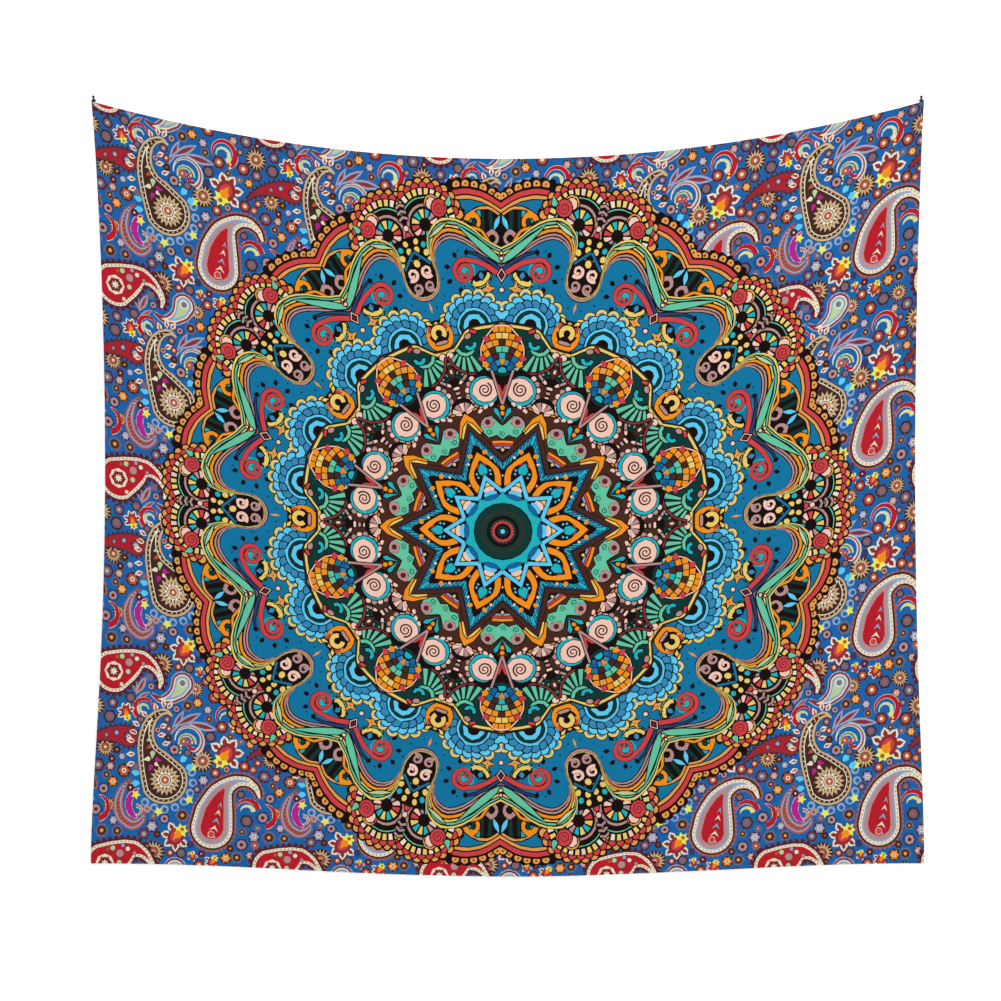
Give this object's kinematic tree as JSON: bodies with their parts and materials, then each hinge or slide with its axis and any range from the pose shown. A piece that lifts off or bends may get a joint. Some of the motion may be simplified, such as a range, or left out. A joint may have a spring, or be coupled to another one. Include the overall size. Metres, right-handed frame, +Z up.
{
  "type": "tapestry wall hanging",
  "caption": "Printed cloth wall hanging, hemmed all round, held flat to a wall by a slanted push pin through each top corner.",
  "frame": {"origin": "on the wall's surface, midway between the two places where the pins' needles enter it", "axes": "+Z up, +X to the right of someone facing the print, and the print faces -Y, so the wall is the plane y = 0 with the wall's body at +Y"},
  "size_m": [1.457, 0.0183, 1.3652],
  "materials": {
    "printed_cloth": "brushed plain-weave polyester, printed on one side, matt with a faint sheen",
    "hem_cloth": "the same cloth turned twice to the back",
    "hem_thread": "spun polyester sewing thread, dark blue",
    "pin_steel": "bright drawn wire",
    "pin_plastic": "moulded, glossy black"
  },
  "bodies": {
    "cloth": {"printed_panel": "printed_cloth", "top_hem": "hem_cloth", "bottom_hem": "hem_cloth", "left_hem": "hem_cloth", "right_hem": "hem_cloth", "top_hem_thread": "hem_thread", "bottom_hem_thread": "hem_thread", "left_hem_thread": "hem_thread", "right_hem_thread": "hem_thread"},
    "left_pin": {"left_pin_needle": "pin_steel", "left_pin_grip": "pin_plastic"},
    "right_pin": {"right_pin_needle": "pin_steel", "right_pin_grip": "pin_plastic"}
  },
  "joints": [
    {"name": "left_pin_pull", "type": "slide", "parent": "cloth", "child": "left_pin", "axis": [0, -0.6428, 0.766], "range_m": [0, 0.014]},
    {"name": "right_pin_pull", "type": "slide", "parent": "cloth", "child": "right_pin", "axis": [-0.0801, -0.6428, 0.7618], "range_m": [0, 0.014]}
  ]
}
